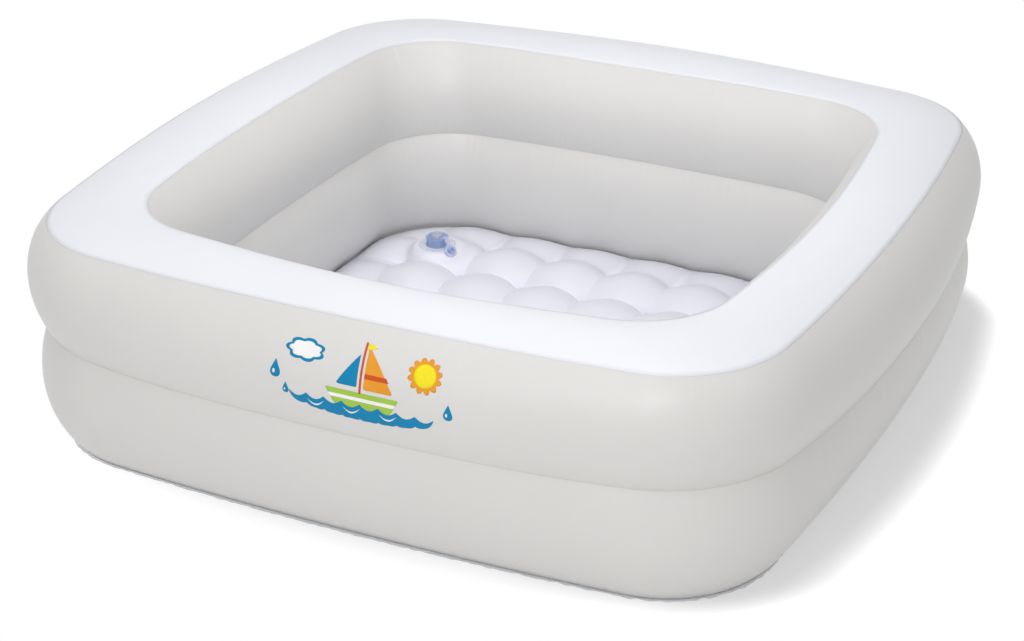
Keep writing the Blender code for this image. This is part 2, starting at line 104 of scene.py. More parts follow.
def sheet_mesh(name, points, wrap=True, flip=False):
    """A mesh through a grid of points, row by row, closed round each row where wrap says so."""
    rows, columns = points.shape[:2]
    index = np.arange(rows * columns).reshape(rows, columns)
    if wrap:
        index = np.concatenate([index, index[:, :1]], axis=1)
    corners = [index[:-1, :-1], index[:-1, 1:], index[1:, 1:], index[1:, :-1]]
    faces = np.stack(corners[::-1] if flip else corners, axis=-1).reshape(-1, 4)
    mesh = bpy.data.meshes.new(name)
    mesh.vertices.add(rows * columns)
    mesh.vertices.foreach_set("co", points.reshape(-1, 3).astype(np.float32).ravel())
    mesh.loops.add(faces.size)
    mesh.loops.foreach_set("vertex_index", faces.ravel().astype(np.int32))
    mesh.polygons.add(len(faces))
    mesh.polygons.foreach_set("loop_start", np.arange(0, faces.size, 4, dtype=np.int32))
    mesh.update(calc_edges=True)
    mesh.validate()
    return mesh


def piece(name, mesh, finish, body="pool", node=None, sharp=FOLD_ANGLE):
    """A named piece of one finish that rides on a body, smooth except at its folds, for a CAD node."""
    made = bpy.data.objects.new(name, mesh)
    bpy.context.scene.collection.objects.link(made)
    mesh.materials.append(finish)
    mesh.shade_smooth()
    mesh.set_sharp_from_angle(angle=sharp)
    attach(made, body)
    if node:
        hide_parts(node)
    return made


def thicken(target, thickness):
    """Give a film its thickness, half to each side."""
    shell = target.modifiers.new("thickness", "SOLIDIFY")
    shell.thickness = thickness
    shell.offset = 0
    shell.use_even_offset = True


class Wire:
    """An output socket in a material. Its operators add Math nodes, and node() adds any other node."""

    def __init__(self, socket):
        self.socket = socket

    def node(self, kind, settings, values, output=0):
        """Add a node of this kind with its settings first, then its inputs' values or wires."""
        tree = self.socket.id_data
        made = tree.nodes.new(kind)
        for name, setting in settings.items():
            setattr(made, name, setting)
        for name, value in values.items():
            if isinstance(value, Wire):
                tree.links.new(value.socket, made.inputs[name])
            else:
                made.inputs[name].default_value = value
        return Wire(made.outputs[output])

    def math(self, operation, *terms):
        """Add a Math node on these terms."""
        return self.node("ShaderNodeMath", {"operation": operation}, dict(enumerate(terms)))

    def __add__(self, other):
        return self.math("ADD", self, other)

    __radd__ = __add__

    def __mul__(self, other):
        return self.math("MULTIPLY", self, other)

    __rmul__ = __mul__

    def __sub__(self, other):
        return self.math("SUBTRACT", self, other)

    def __rsub__(self, other):
        return self.math("SUBTRACT", other, self)

    def __pow__(self, other):
        return self.math("POWER", self, other)

    def noise(self, scale, detail=2.0):
        """Cloudy noise from 0 to 1 with about scale lumps to a metre."""
        return self.node("ShaderNodeTexNoise", {}, {"Vector": self, "Scale": scale, "Detail": detail})

    def clamped(self, low, high):
        """0 below low, 1 above high, and straight between them."""
        return self.node("ShaderNodeMapRange", {}, {"Value": self, "From Min": low, "From Max": high})

    def blend(self, first, second):
        """A colour between two, by this wire from 0 to 1."""
        return self.node("ShaderNodeMix", {"data_type": "RGBA"}, {0: self, 6: first, 7: second}, 2)

    def bump(self, strength, distance):
        """A normal that follows this wire as a height from 0 to 1, where 1 stands distance metres up."""
        return self.node("ShaderNodeBump", {}, {"Strength": strength, "Distance": distance, "Height": self})

    def marked(self, name):
        """The number that mark() keeps under this name for each point of the piece."""
        return self.node("ShaderNodeAttribute", {"attribute_name": name}, {}, 2)


def shade(colour, factor):
    """A colour made lighter or darker."""
    return (*[min(1.0, channel * factor) for channel in colour[:3]], 1)


def surface(name, **constants):
    """A material with constants on its shader's sockets. Gives it, its shader and its object place."""
    made = bpy.data.materials.new(name)
    made.use_nodes = True
    nodes = made.node_tree.nodes
    shader = nodes["Principled BSDF"]
    for socket, value in constants.items():
        shader.inputs[socket.replace("_", " ")].default_value = value
    place = Wire(nodes.new("ShaderNodeTexCoord").outputs["Object"])
    return made, shader, place


def feed(target, **wires):
    """Link wires into the sockets of a shader or an output."""
    for socket, wire in wires.items():
        target.id_data.links.new(wire.socket, target.inputs[socket.replace("_", " ")])


FILM_CLOUD = 11
FILM_PEBBLE = 260
FILM_GRAIN = 1500
FILM_BUMP = 0.00006
FILM_DEEP = 0.985
FILM_PALE = 1.012
CLOUD_GLOSS = 0.10
PEBBLE_GLOSS = 0.08
WELD_GLOSS = 0.05


def rolled(place):
    """A film's unevenness from its rollers, each from 0 to 1: slow clouds, a fine pebble and a grain."""
    return place.noise(FILM_CLOUD, 3.0), place.noise(FILM_PEBBLE, 2.0), place.noise(FILM_GRAIN, 1.0)


def film(name, colour, roughness, weld_reach, sheer=0.0):
    """Calendered vinyl sheet: a faint pebble and grain from its rollers, and a weld beside each seam.

    The weld's press leaves the film smoother and a shade deeper for weld_reach from the seam, which is
    read from the piece's own seam attribute, and its far edge prints through as a fine step. Past the
    pool's outer weld a single sheer film lets that share of the light through.
    """
    made, shader, place = surface(name, Specular_IOR_Level=0.45, Sheen_Weight=0.05, Sheen_Roughness=0.6)
    weld = 1 - place.marked("seam").clamped(weld_reach * 0.6, weld_reach)
    cloud, pebble, grain = rolled(place)
    deep = shade(colour, FILM_DEEP)
    tone = (cloud.clamped(0.3, 0.7) * 0.7 + pebble * 0.3).blend(deep, shade(colour, FILM_PALE))
    gloss = roughness + (cloud - 0.5) * CLOUD_GLOSS + (pebble - 0.5) * PEBBLE_GLOSS - weld * WELD_GLOSS
    height = pebble * 0.5 + grain * 0.25 - weld * 0.4
    feed(shader, Base_Color=weld.blend(tone, deep), Roughness=gloss, Normal=height.bump(0.35, FILM_BUMP))
    if sheer:
        feed(shader, Alpha=1 - place.marked("outside").clamped(0, MARGIN_WIDTH / 4) * sheer)
    return made


def mark(mesh, name, values):
    """Keep one number for each point of a mesh, for its material to read."""
    mesh.attributes.new(name, "FLOAT", "POINT").data.foreach_set("value", values.astype(np.float32).ravel())


base_film = film("base_film", WHITE, WHITE_ROUGHNESS, WHITE_WELD, MARGIN_SHEER)

seam_along = np.arange(4 * QUARTER_COLUMNS) / QUARTER_COLUMNS
base_line = ring(BASE_OUTER, seam_along)
base_out = base_line / np.linalg.norm(base_line[:, :2], axis=1, keepdims=True) * (1, 1, 0)
base_bearing = np.arctan2(base_line[:, 1], base_line[:, 0])
base_run = np.cumsum(np.linalg.norm(base_line - np.roll(base_line, 1, axis=0), axis=1))
cornering = ((1 - np.cos(4 * base_bearing)) / 2) ** 2
base_wave = ripples(base_run, MARGIN_WAVES, 3)
base_frill = ripples(base_run, FRILL_WAVES, 4)
margin_share = np.linspace(0, 1, MARGIN_STEPS)[:, None, None]
margin_crest = MARGIN_LIFT * (MARGIN_SIDE_LIFT + (1 - MARGIN_SIDE_LIFT) * cornering)
margin_lift = margin_crest * np.clip(0.5 + 0.5 * base_wave, 0, 1.5)
margin_reach = MARGIN_WIDTH + MARGIN_FRILL * base_frill
margin = base_line + margin_share * margin_reach[:, None] * base_out
margin = margin + margin_share ** MARGIN_CURL * margin_lift[:, None] * np.array([0, 0, 1])
under = base_line * np.array(UNDER_SHARES)[:, None, None] * (1, 1, 0) + (0, 0, SHEET / 2)
base_rows = np.concatenate([under, margin])
base_mesh = sheet_mesh("base_sheet_film", base_rows)
mark(base_mesh, "seam", np.linalg.norm(base_rows - base_line, axis=2))
mark(base_mesh, "outside", np.sum((base_rows - base_line) * base_out, axis=2).clip(0))
base_sheet = piece("base_sheet_film", base_mesh, base_film, node="base_sheet")
thicken(base_sheet, SHEET)

# Floor sheet. The upper film of the floor's air chamber is spot-welded to the base on a square
# lattice, so the air lifts a bubble in each cell and a tube along the wall. Each spot is a flat dimple.

BUBBLE_PITCH = 0.0775
BUBBLE_HEIGHT = 0.0280
BUBBLE_CELLS = 6
SPOT_RADIUS = 0.0060
DOME_SHARE = 0.7
EDGE_TUBE_HEIGHT = 0.0075
FLOOR_HALF = 0.2985
FLOOR_CORNER = 0.0955
FLOOR_SIDE = 9.0
CELL_STEPS = 30
CELL_CROWDING = 0.62
EDGE_STEPS = 17
BORDER_TRIES = 30
PULL_START = 0.55
PULL_POWER = 2.2
LAND_RADIUS = 0.0240
LAND_BLEND = 0.0140
COLLAR_RADIUS = 0.0125
GAP = 0.0003
HOLE_RADIUS = COLLAR_RADIUS + GAP
DRILL_SIDES = 64
SPOT_PUCKER = 0.00025
SPOT_PUCKER_START = 0.003
SPOT_PUCKER_REACH = 0.011
SPOT_FOLDS = ((8, 1, 1.0), (13, 2, 0.6))
SPOT_TURN_X, SPOT_TURN_Y = 1.7, 2.9
EDGE_PUCKER = 0.00070
EDGE_PUCKER_START = 0.006
EDGE_PUCKER_REACH = 0.016
EDGE_WAVES = (0.0083, 0.0121, 0.0187)
PINCH_LEAST = 0.35
PINCH_POWER = 6
SPOT_EDGE = 0.92
SPOT_TINT = 0.7
SPOT_GLOSS = 0.12
# Painted shade: the floor's film is darkened within this height of the base, in the valleys round its spots
# and beside the wall.
PAINTED_SHADE_REACH = 0.006
PAINTED_SHADE_TINT = 0.3
FLOOR_ROUGHNESS = 0.36
FLOOR_BUMP = 0.00008
FLOOR_DEEP = 0.93
FLOOR_WHITE = (0.785, 0.785, 0.865, 1)
joints = {joint["name"]: joint for joint in frame["joints"]}


def valve_frame(cap_joint, out, reach, level):
    """Place of a valve: +Z out of its chamber, +X to the strap's hinge, the rim's middle at zero.

    The cap's hinge lies reach from the middle and level above the rim, across +X.
    """
    across = Vector(cap_joint["axis"]).normalized()
    up = across.cross(out)
    rim = Vector(cap_joint["pos_m"]) - up * reach - out * level
    return Matrix.Translation(rim) @ Matrix((up, across, out)).transposed().to_4x4()


STRAP_REACH = 0.0170
STEM_PROUD = 0.0040
STRAP_THICK = 0.0010
HINGE_LEVEL = STEM_PROUD + GAP + STRAP_THICK / 2
floor_cap_joint = dict(joints["floor_cap_hinge"])
floor_cap_joint["axis"] = [-part for part in floor_cap_joint["axis"]]
floor_place = valve_frame(floor_cap_joint, Vector((0, 0, 1)), STRAP_REACH, HINGE_LEVEL)
floor_valve_x, floor_valve_y = floor_place.translation[:2]


def border_distance(x, y):
    """Distance out of the floor's border, negative inside it: a rounded square with bowed sides.

    Past the start of a corner it is the root of the sum of both overshoots squared, less the
    corner's radius. Elsewhere it is the larger overshoot, less that radius.
    """
    past_x = np.abs(x) + y * y / (2 * FLOOR_SIDE) - (FLOOR_HALF - FLOOR_CORNER)
    past_y = np.abs(y) + x * x / (2 * FLOOR_SIDE) - (FLOOR_HALF - FLOOR_CORNER)
    corner = np.hypot(np.maximum(past_x, 0), np.maximum(past_y, 0))
    return corner + np.minimum(np.maximum(past_x, past_y), 0) - FLOOR_CORNER


def in_cell(place):
    """How far a place lies across its bubble's cell, from -1 to 1."""
    return 2 * (place / BUBBLE_PITCH - 0.5 - np.round(place / BUBBLE_PITCH - 0.5))


def floor_height(x, y):
    """Height of the floor's film over the base, without its puckers.

    Inside the outermost spots it is the bubble height times the root of a share that is 1 in the
    middle of each cell and 0 round each spot. With u and v from -1 to 1 over the cell, the share
    lies between a dome, 1 - (u*u + v*v) / 2, and a smooth saddle, the mean of cosine squared of a
    quarter turn times u and v. Past the spots the film is a tube that starts at the height of the
    cell edge beside it and comes down to 0 at the border. The valve's land is pressed flat.
    """
    reach = BUBBLE_CELLS * BUBBLE_PITCH / 2
    near_x, near_y = np.clip(x, -reach, reach), np.clip(y, -reach, reach)
    u, v = in_cell(near_x), in_cell(near_y)
    saddle = (np.cos(u * math.pi / 2) ** 2 + np.cos(v * math.pi / 2) ** 2) / 2
    share = saddle + DOME_SHARE * (1 - (u * u + v * v) / 2 - saddle)
    flat = DOME_SHARE * math.sqrt(2) * SPOT_RADIUS / BUBBLE_PITCH
    dome = BUBBLE_HEIGHT * np.sqrt(np.maximum(0, (share - flat) / (1 - flat)))
    past = np.hypot(x - near_x, y - near_y)
    inside = np.maximum(0, -border_distance(x, y))
    out = past / np.maximum(past + inside, GAP)
    tube = np.sqrt(dome ** 2 * (1 - out) + 4 * EDGE_TUBE_HEIGHT ** 2 * out * (1 - out))
    from_valve = np.hypot(x - floor_valve_x, y - floor_valve_y)
    off_land = np.clip((from_valve - LAND_RADIUS) / LAND_BLEND, 0, 1)
    return BUBBLE_HEIGHT + (tube - BUBBLE_HEIGHT) * off_land * off_land * (3 - 2 * off_land)


def spot_distance(x, y):
    """Distance to the nearest spot weld, and the bearing from it."""
    from_x = x - np.clip(np.round(x / BUBBLE_PITCH), -BUBBLE_CELLS / 2, BUBBLE_CELLS / 2) * BUBBLE_PITCH
    from_y = y - np.clip(np.round(y / BUBBLE_PITCH), -BUBBLE_CELLS / 2, BUBBLE_CELLS / 2) * BUBBLE_PITCH
    return np.hypot(from_x, from_y), np.arctan2(from_y, from_x)


def floor_puckers(x, y):
    """Small folds that run out from each spot weld, and across the edge tube where it is pinched.

    Round a spot they are sines of the bearing that die out with distance. At the border they are
    ripples along the wall, strongest beside a spot, and gone at the border and at the bubbles.
    """
    distance, bearing = spot_distance(x, y)
    cell = np.round(x / BUBBLE_PITCH) * SPOT_TURN_X + np.round(y / BUBBLE_PITCH) * SPOT_TURN_Y
    folds = sum(size * np.sin(count * bearing + turn * cell) for count, turn, size in SPOT_FOLDS)
    start = np.clip((distance - SPOT_RADIUS) / SPOT_PUCKER_START, 0, 1)
    spots = SPOT_PUCKER * folds * start * np.exp(-distance / SPOT_PUCKER_REACH)
    inside = np.maximum(0, -border_distance(x, y))
    along = np.where(np.abs(x) > np.abs(y), y, x)
    pinch = PINCH_LEAST + (1 - PINCH_LEAST) * np.cos(math.pi * along / BUBBLE_PITCH) ** PINCH_POWER
    edge = np.exp(-inside / EDGE_PUCKER_REACH) * np.clip(inside / EDGE_PUCKER_START, 0, 1)
    return spots + EDGE_PUCKER * ripples(along, EDGE_WAVES, 7) * edge * pinch


def floor_film():
    """White vinyl whose welded spots read smoother and a little greyer than the bubbles, with painted shade
    in its low places.
    """
    made, shader, place = surface("floor_film", Specular_IOR_Level=0.5)
    weld = 1 - place.marked("spot").clamped(SPOT_RADIUS * SPOT_EDGE, SPOT_RADIUS)
    # Painted shade in the low places of the film: darker the nearer the film lies to the base.
    low = 1 - place.marked("height_for_painted_shade").clamped(0.0, PAINTED_SHADE_REACH)
    cloud, pebble, grain = rolled(place)
    deep = shade(FLOOR_WHITE, FLOOR_DEEP)
    tone = (cloud * 0.6 + pebble * 0.4).blend(shade(FLOOR_WHITE, 0.985), shade(FLOOR_WHITE, 1.015))
    tone = (weld * SPOT_TINT).blend((low * PAINTED_SHADE_TINT).blend(tone, deep), deep)
    gloss = FLOOR_ROUGHNESS + (cloud - 0.5) * CLOUD_GLOSS + (pebble - 0.5) * PEBBLE_GLOSS - weld * SPOT_GLOSS
    height = pebble * 0.5 + grain * 0.2
    feed(shader, Base_Color=tone, Roughness=gloss, Normal=height.bump(0.4, FLOOR_BUMP))
    return made


def floor_lines():
    """Grid lines from one border of the floor to the other, closer together at the bubbles' edges.

    In a cell they lie at the share of the way less a sine of a whole turn times it, and past the
    cells at the sine of a quarter turn times it.
    """
    share = np.arange(CELL_STEPS) / CELL_STEPS
    spread = share - np.sin(math.tau * share) / math.tau * CELL_CROWDING
    cells = (np.arange(BUBBLE_CELLS)[:, None] + spread).ravel() - BUBBLE_CELLS / 2
    reach = BUBBLE_CELLS / 2
    edge = np.linspace(0, 1, EDGE_STEPS + 1)
    outer = reach + (FLOOR_HALF / BUBBLE_PITCH - reach) * np.sin(edge * math.pi / 2)
    return np.concatenate([-outer[:0:-1], cells, outer]) * BUBBLE_PITCH


def floor_grid():
    """Places of the floor's film: a square grid whose outer lines are drawn in to the rounded border.

    Past the outermost bubbles a place is pulled toward the middle along its bearing, by the share of
    its way out, so that the grid's edge lies on the border.
    """
    x, y = np.meshgrid(floor_lines(), floor_lines())
    size = np.maximum(np.abs(x), np.abs(y))
    way = np.clip(size / FLOOR_HALF, 0, 1)
    edge_x, edge_y = x / size.clip(GAP) * FLOOR_HALF, y / size.clip(GAP) * FLOOR_HALF
    low, high = np.zeros_like(x), np.ones_like(x)
    for _ in range(BORDER_TRIES):
        middle = (low + high) / 2
        outside = border_distance(edge_x * middle, edge_y * middle) > 0
        low, high = np.where(outside, low, middle), np.where(outside, middle, high)
    pull = 1 + (low - 1) * np.clip((way - PULL_START) / (1 - PULL_START), 0, 1) ** PULL_POWER
    return x * pull, y * pull


floor_x, floor_y = floor_grid()
floor_z = floor_height(floor_x, floor_y)
floor_spot = spot_distance(floor_x, floor_y)[0]
land = np.hypot(floor_x - floor_valve_x, floor_y - floor_valve_y) < LAND_RADIUS + LAND_BLEND
floor_z = floor_z + np.where(land, 0, floor_puckers(floor_x, floor_y))
floor_z = np.maximum(floor_z, 0) + SHEET / 2 + PLY
floor_mesh = sheet_mesh("floor_sheet_film", np.stack([floor_x, floor_y, floor_z], axis=-1), wrap=False)
mark(floor_mesh, "spot", floor_spot)
mark(floor_mesh, "height_for_painted_shade", floor_z)
floor_sheet = piece("floor_sheet_film", floor_mesh, floor_film(), node="floor_sheet")
thicken(floor_sheet, SHEET)


def combine(target, other, operation):
    """Join a piece with a closed mesh, or cut it, and apply every modifier on the piece."""
    tool = bpy.data.objects.new("tool", other)
    bpy.context.scene.collection.objects.link(tool)
    step = target.modifiers.new("combine", "BOOLEAN")
    step.solver = "EXACT"
    step.operation = operation
    step.object = tool
    evaluated = target.evaluated_get(bpy.context.evaluated_depsgraph_get())
    mesh = bpy.data.meshes.new_from_object(evaluated)
    target.modifiers.clear()
    target.data = mesh
    bpy.data.objects.remove(tool)


def drill(target, place):
    """Cut the round hole for a collar through a film at a valve's place, square to it."""
    turns = np.arange(DRILL_SIDES) * math.tau / DRILL_SIDES
    circle = HOLE_RADIUS * np.stack([np.cos(turns), np.sin(turns)], axis=1)
    ends = [np.column_stack([circle, np.full(DRILL_SIDES, height)]) for height in (-LAND_RADIUS, LAND_RADIUS)]
    low = np.arange(DRILL_SIDES)
    sides = np.stack([low, np.roll(low, -1), np.roll(low, -1) + DRILL_SIDES, low + DRILL_SIDES], axis=1)
    drum = bpy.data.meshes.new("drum")
    drum.from_pydata(np.concatenate(ends).tolist(), [],
                     [*sides.tolist(), low[::-1].tolist(), (low + DRILL_SIDES).tolist()])
    drum.transform(place)
    combine(target, drum, "DIFFERENCE")


drill(floor_sheet, floor_place)

# Air rings. Each ring's outer and inner walls are strips of grey vinyl, welded edge to edge inside
# the ring, so that a flange turns in at each seam. Air bows each strip into an arc.

TOP_OUTER = (0.3984, 0.1190, 1 / 2.40, 0.2340, -0.0035)
TOP_INNER = (0.3175, 0.0950, 1 / 1.78, 0.2324, 0.0037)
CREASE_OUTER = (0.4232, 0.1500, 1 / 1.27, 0.1304, -0.0081)
CREASE_INNER = (0.2909, 0.1010, 1 / 3.15, 0.1304, 0)
BASE_INNER = (0.3020, 0.0990, 1 / 9.0, SHEET / 2, 0)
CROWN = 0.0078
UPPER_OUTER_BULGE = 0.0197
UPPER_INNER_BULGE = 0.0170
LOWER_OUTER_BULGE = 0.0193
LOWER_INNER_BULGE = 0.0180
WELD = 0.0050
WALL_ROWS = 34
ROW_CROWDING = 0.55
PUCKER = 0.00012
PUCKER_CORNER = 0.00020
PUCKER_CORNER_SPREAD = 0.7
PUCKER_REACH = 0.0085
PUCKER_WAVES = (0.0093, 0.0131, 0.0177, 0.0251)
PUCKER_GROUPS = (0.083, 0.131, 0.217)
PUCKER_GROUP_DEPTH = 0.45
BAND_GATHER = 0.4
GUIDE_SHARES = (0.0, 0.1, 0.9, 1.0)
SEAM_FOLD_ANGLE = math.radians(50)
SMALL_STEP = 1e-4
GREY = (0.701, 0.693, 0.676, 1)
GREY_ROUGHNESS = 0.37
GREY_WELD = 0.0042


class Panel:
    """A strip of film bowed by the air between two seams, as a surface of place along and across it."""

    def __init__(self, lower, upper, bulge, seed, gather=1.0):
        """Measure the arc across the strip: its radius is (chord squared / 4 + bulge squared) / 2 bulges."""
        self.lower, self.upper, self.bulge = np.array(lower), np.array(upper), bulge
        self.seed, self.gather = seed, gather
        self.run = self.upper[0] - self.lower[0]
        self.rise = self.upper[3] - self.lower[3]
        self.chord = math.hypot(self.run, self.rise)
        push = abs(bulge)
        self.radius = (self.chord ** 2 / 4 + push ** 2) / (2 * push)
        self.spread = math.asin(self.chord / 2 / self.radius)
        self.width = 2 * self.spread * self.radius
        self.length = 8 * self.lower[0]

    def smooth(self, along, across):
        """Points of the strip as the air shapes it: an arc from seam to seam, pushed out by the bulge."""
        angle = self.spread * (2 * across - 1)
        share = 0.5 + self.radius * np.sin(angle) / self.chord
        out = np.copysign(self.radius * (np.cos(angle) - 1) + abs(self.bulge), self.bulge)
        level = [low + (high - low) * share for low, high in zip(self.lower, self.upper)]
        level[0] = level[0] + out * self.rise / self.chord
        level[1] = level[1] + out * self.rise / self.chord
        level[3] = level[3] - out * self.run / self.chord
        return ring(level, along)

    def normal(self, along, across):
        """Unit normals of the smooth strip, pointing to the side that it bows to.

        They are the cross product of two short spans of the strip, one along it and one across it.
        """
        below = np.clip(across - SMALL_STEP, 0, 1)
        above = np.clip(across + SMALL_STEP, 0, 1)
        one = self.smooth(along + SMALL_STEP, across) - self.smooth(along - SMALL_STEP, across)
        two = self.smooth(along, above) - self.smooth(along, below)
        square = np.cross(one, two)
        square = square / np.linalg.norm(square, axis=-1, keepdims=True)
        return square if self.bulge > 0 else -square

    def puckers(self, along, across):
        """Gathers of the film beside its seams: ripples along the seam that rise and die out from it.

        Their depth goes as reach times e to the 1 - reach, where reach is the distance from the seam
        over a length. They grow at the corners, and a slow ripple scales the fast ones into groups.
        """
        place = along * self.length / 4
        bearing = 4 * (along % 1 - SIDE_SHARE - (1 - SIDE_SHARE) / 2)
        corner = np.exp(-(bearing / PUCKER_CORNER_SPREAD) ** 2)
        depth = self.gather * (PUCKER + (PUCKER_CORNER - PUCKER) * corner)
        total = 0
        for end, distance in enumerate((across * self.width, (1 - across) * self.width)):
            seed = self.seed + 10 * end
            groups = 1 - PUCKER_GROUP_DEPTH + PUCKER_GROUP_DEPTH * ripples(place, PUCKER_GROUPS, seed)
            fast = ripples(place, PUCKER_WAVES, seed + 1)
            reach = distance / PUCKER_REACH
            total = total + depth * groups * fast * reach * np.exp(1 - reach)
        return total

    def points(self, along, across, lift=0.0):
        """Points of the strip with its gathers, lifted off it by lift."""
        out = self.puckers(along, across) + lift
        return self.smooth(along, across) + self.normal(along, across) * out[..., None]

    def laid(self, along, across, flat, lift):
        """Points of a flat figure laid on the strip round a place, with X along it and Y across it."""
        beside = self.smooth(np.array([along - SMALL_STEP, along + SMALL_STEP]), np.full(2, across))
        quarter = np.linalg.norm(beside[1] - beside[0]) / (2 * SMALL_STEP)
        return self.points(along + flat[..., 0] / quarter, across + flat[..., 1] / self.width, lift)


def turned_in(edge, inward):
    """A row of weld flange: the seam's points moved by the weld's width towards another seam's."""
    span = inward - edge
    return edge + span / np.linalg.norm(span, axis=-1, keepdims=True) * WELD


def wall(panel, foot, head, node):
    """A wall's film with its two flanges, for a CAD node. foot and head are the flanges' inner edges."""
    share = np.linspace(0, 1, WALL_ROWS)
    crowded = (1 - np.cos(math.pi * share)) / 2
    across = ((1 - ROW_CROWDING) * share + ROW_CROWDING * crowded)[:, None]
    body = panel.points(seam_along[None, :], across)
    rows = np.concatenate([foot[None], body, head[None]])
    mesh = sheet_mesh(node + "_film", rows, flip=panel.bulge < 0)
    near = np.minimum(across, 1 - across) * panel.width * np.ones(len(seam_along))
    edge = np.zeros((1, len(seam_along)))
    mark(mesh, "seam", np.concatenate([edge, near, edge]))
    made = piece(node + "_film", mesh, grey_film, node=node, sharp=SEAM_FOLD_ANGLE)
    thicken(made, SHEET)
    return made


def raised(level, height):
    """The same seam, higher by a height."""
    return (*level[:3], level[3] + height, level[4])


grey_film = film("grey_film", GREY, GREY_ROUGHNESS, GREY_WELD)
band = Panel(TOP_OUTER, TOP_INNER, CROWN, 60, BAND_GATHER)
upper_outer = Panel(raised(CREASE_OUTER, PLY), raised(TOP_OUTER, -PLY), UPPER_OUTER_BULGE, 20)
upper_inner = Panel(raised(CREASE_INNER, PLY), raised(TOP_INNER, -PLY), -UPPER_INNER_BULGE, 30)
lower_outer = Panel(raised(BASE_OUTER, PLY), raised(CREASE_OUTER, -PLY), LOWER_OUTER_BULGE, 40)
lower_inner = Panel(raised(BASE_INNER, PLY), raised(CREASE_INNER, -PLY), -LOWER_INNER_BULGE, 50)

crease_out, crease_in = ring(CREASE_OUTER, seam_along), ring(CREASE_INNER, seam_along)
base_in = ring(BASE_INNER, seam_along)
band_guides = band.smooth(seam_along[None, :], np.array(GUIDE_SHARES)[:, None])
ply = np.array([0, 0, PLY])
upper_outer_wall = wall(upper_outer, turned_in(crease_out, crease_in) + ply,
                        turned_in(band_guides[0], band_guides[1]) - 3 * ply, "upper_outer_wall")
wall(upper_inner, turned_in(crease_in, crease_out) + ply,
     turned_in(band_guides[3], band_guides[2]) - 3 * ply, "upper_inner_wall")
lower_outer_wall = wall(lower_outer, turned_in(base_line, base_in) + ply,
                        turned_in(crease_out, crease_in) - ply, "lower_outer_wall")
wall(lower_inner, turned_in(base_in, base_line) + ply,
     turned_in(crease_in, crease_out) - ply, "lower_inner_wall")

# Divider. A flat web of the same grey film lies between the two rings, welded into both creases, and
# its trimmed edge shows in the creases as a fine line.

WEB_SHARES = (0, 0.02, 0.3, 0.7, 0.98, 1)
web = crease_out + (crease_in - crease_out) * np.array(WEB_SHARES)[:, None, None]
web_mesh = sheet_mesh("ring_divider_film", web)
mark(web_mesh, "seam", np.zeros(web.shape[:2]))
divider = piece("ring_divider_film", web_mesh, grey_film, node="ring_divider")
thicken(divider, SHEET)

# Top band. One strip of white vinyl closes the upper ring. It bows up only a little, because the
# walls beside it take most of the air's push.

BAND_ROWS = 16
white_film = film("white_film", WHITE, WHITE_ROUGHNESS, WHITE_WELD)
band_across = np.linspace(0, 1, BAND_ROWS)[:, None]
band_mesh = sheet_mesh("top_band_film", band.points(seam_along[None, :], band_across))
mark(band_mesh, "seam", np.minimum(band_across, 1 - band_across) * band.width * np.ones(len(seam_along)))
top_band = piece("top_band_film", band_mesh, white_film, node="top_band")
thicken(top_band, SHEET)

# Valves. Each chamber has the same soft mouldings: a clear flange welded on the film, a blue collar
# through it, a clear stem with a check flap in the collar, and a blue stopper on a clear strap. The
# floor's valve stands pulled out and open, and those of the two rings are pushed in and shut.

PUSHED_IN_HEIGHT = 0.0022
VALVE_TRAVEL = 0.0080
FLOOR_CAP_FOLD = math.radians(230)
WALL_PLACES = 4001
LUG_WIDTH = 0.0070
STRAP_WIDTH = 0.0050
FLAP_EAR_WIDTH = 0.0040
BAR_INSET = 0.0003
KNUCKLE_RADIUS = 0.8 * STRAP_THICK
KNUCKLE_SIDES = 8
KNUCKLE_ROUNDING = 0.4
TURNED_SIDES = 96
COLLAR = [(0.0068, -0.0116, 0.0002), (0.0125, -0.0116, 0.0008), (0.0125, -0.0008, 0.0002),
          (0.0135, -0.0008, 0.0003), (0.0135, 0, 0.0004), (0.0113, 0, 0.0003), (0.0113, -0.0104, 0.0016),
          (0.0068, -0.0104, 0.0002)]
LUG = [(0.0119, -0.0014, 0), (0.0125, -0.0014, 0.0003), (0.0170, 0.0021, 0.0004), (0.0170, 0.0037, 0.0004),
       (0.0119, 0.0037, 0.0004)]
STEM = [(0.0050, -0.0146, 0.0003), (0.0065, -0.0146, 0.0003), (0.0065, -0.0127, 0.0003),
        (0.0085, -0.0127, 0.0002), (0.0085, -0.0119, 0.0002), (0.0065, -0.0119, 0.0003),
        (0.0065, 0.0040, 0.0006), (0.0050, 0.0040, 0.0005)]
FLAP = [(0, -0.0155, 0), (0.0062, -0.0155, 0.0002), (0.0062, -0.0149, 0.0002), (0, -0.0149, 0)]
FLAP_EAR = [(0.0031, -0.0155, 0), (0.0078, -0.0155, 0.0002), (0.0078, -0.0149, 0.0002), (0.0031, -0.0149, 0)]
STRAP_RING = [(0.0050, 0.0043, 0.0003), (0.0078, 0.0043, 0.0004), (0.0078, 0.0053, 0.0004),
              (0.0050, 0.0053, 0.0003)]
TONGUE = [(0.0062, 0.0044, 0), (0.0170, 0.0044, 0.0002), (0.0170, 0.0052, 0.0002), (0.0062, 0.0052, 0)]
STOPPER = [(0, 0.0072, 0), (0.0048, 0.0072, 0.0010), (0.0058, 0.0078, 0.0008), (0.0075, 0.0075, 0.0008),
           (0.0075, 0.0056, 0.0005), (0.0046, 0.0056, 0.0002), (0.0046, 0.0043, 0.0008),
           (0.0036, 0.0010, 0.0005), (0.0024, 0.0010, 0.0003), (0.0024, 0.0062, 0.0004), (0, 0.0062, 0)]
